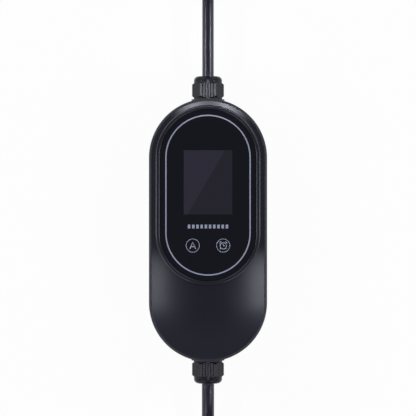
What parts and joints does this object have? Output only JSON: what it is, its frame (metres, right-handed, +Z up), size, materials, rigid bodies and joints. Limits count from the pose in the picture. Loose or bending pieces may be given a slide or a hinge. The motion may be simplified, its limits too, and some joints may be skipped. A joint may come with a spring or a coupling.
{
  "type": "portable ev charger",
  "caption": "In-cable control box of a portable electric vehicle charger: stadium housing with a lens display, cable glands, a mains lead with plug and a vehicle lead with connector.",
  "frame": {"origin": "middle of the housing's back, on the surface that the box lies on", "axes": "+X across the housing, +Y along it towards the mains lead, +Z up out of the display"},
  "size_m": [0.1292, 0.9709, 0.0595],
  "materials": {
    "housing": "satin moulded",
    "lens": "gloss",
    "bright_ring": "satin",
    "panel": "gloss",
    "gland": "satin moulded",
    "seal_rubber": "matt",
    "cable_rubber": "satin extruded",
    "steel": "plated",
    "brass": "bright",
    "plated_brass": "nickel plated",
    "circuit_board": "solder mask",
    "black_parts": "moulded",
    "pale_plastic": "moulded",
    "terminal_green": "moulded",
    "core_sheath": "extruded",
    "strap": "woven hook and loop",
    "plug_plastic": "satin moulded"
  },
  "bodies": {
    "root": {"front_cover": "housing", "rear_cover": "housing", "cover_seal": "seal_rubber", "cover_screws": "steel", "display_lens": "lens", "lens_ring": "bright_ring", "lens_tape": "seal_rubber", "display_panel": "panel", "panel_holder": "pale_plastic", "touch_springs": "brass", "display_board": "circuit_board", "display_board_screws": "steel", "main_board": "circuit_board", "main_board_screws": "steel", "live_relay": "black_parts", "neutral_relay": "black_parts", "residual_current_sensor": "black_parts", "supply_module": "black_parts", "capacitors": "black_parts", "input_fuse": "black_parts", "buzzer": "black_parts", "link_sockets": "pale_plastic", "link_ribbon": "pale_plastic", "mains_terminal": "terminal_green", "vehicle_terminal": "terminal_green", "mains_cores": "core_sheath", "vehicle_cores": "core_sheath", "mains_gland_washer": "seal_rubber", "mains_gland_body": "gland", "mains_gland_insert": "seal_rubber", "mains_gland_nut": "gland", "mains_gland_locknut": "gland", "vehicle_gland_washer": "seal_rubber", "vehicle_gland_body": "gland", "vehicle_gland_insert": "seal_rubber", "vehicle_gland_nut": "gland", "vehicle_gland_locknut": "gland", "mains_lead": "cable_rubber", "mains_hank": "cable_rubber", "mains_strap": "strap", "mains_plug": "plug_plastic", "plug_pins": "plated_brass", "plug_earth_contacts": "brass", "vehicle_lead": "cable_rubber", "vehicle_hank": "cable_rubber", "vehicle_tail": "cable_rubber", "vehicle_strap": "strap", "connector_boot": "cable_rubber", "connector_body": "housing", "connector_cap": "seal_rubber"}
  },
  "joints": []
}
